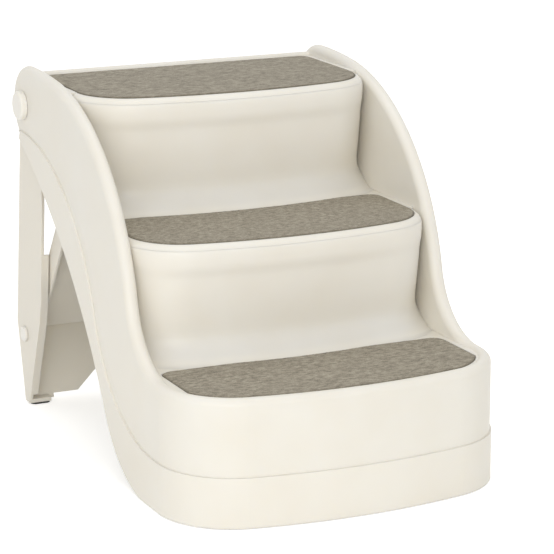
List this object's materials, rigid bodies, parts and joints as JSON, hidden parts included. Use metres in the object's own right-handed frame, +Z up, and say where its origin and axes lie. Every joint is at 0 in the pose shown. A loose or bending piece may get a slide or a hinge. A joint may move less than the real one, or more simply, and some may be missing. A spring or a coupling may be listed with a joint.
{
  "type": "folding pet stairs",
  "caption": "Moulded stairs for small pets with curved side rails, textile tread mats and a rear leg that folds under the treads.",
  "frame": {"origin": "middle of the footprint on the floor, under the centre of the bounding box", "axes": "+X across the stairs, -Y towards the front step, +Z up"},
  "size_m": [0.408, 0.5713, 0.424],
  "materials": {
    "shell_plastic": "fine satin moulded polypropylene, cream",
    "leg_plastic": "fine satin moulded polypropylene, cream",
    "pin_plastic": "smooth moulded nylon, cream",
    "mat_textile": "short ribbed needle felt, grey taupe",
    "zinc_steel": "zinc plated steel",
    "foot_rubber": "matt black rubber"
  },
  "bodies": {
    "stairs": {"stair_body": "shell_plastic", "tread_mat_bottom": "mat_textile", "tread_mat_middle": "mat_textile", "tread_mat_top": "mat_textile", "pivot_pin_left": "pin_plastic", "pivot_pin_right": "pin_plastic", "pivot_washer_left": "zinc_steel", "pivot_washer_right": "zinc_steel", "pivot_screw_left": "zinc_steel", "pivot_screw_right": "zinc_steel", "front_foot_left": "foot_rubber", "front_foot_right": "foot_rubber", "heel_foot_left": "foot_rubber", "heel_foot_right": "foot_rubber"},
    "leg": {"rear_leg": "leg_plastic", "rear_foot_left": "foot_rubber", "rear_foot_right": "foot_rubber", "brace_pin_left": "pin_plastic", "brace_pin_right": "pin_plastic"},
    "brace": {"support_brace": "leg_plastic"}
  },
  "joints": [
    {"name": "leg_hinge", "type": "hinge", "parent": "stairs", "child": "leg", "pos_m": [0, 0.222, 0.377], "axis": [-1, 0, 0], "range_deg": [0, 38]},
    {"name": "brace_hinge", "type": "hinge", "parent": "leg", "child": "brace", "pos_m": [0, 0.257, 0.088], "axis": [-1, 0, 0], "range_deg": [0, 26.6]}
  ],
  "couplings": [
    {"joint": "brace_hinge", "follows": "leg_hinge", "ratio": 0.7}
  ]
}
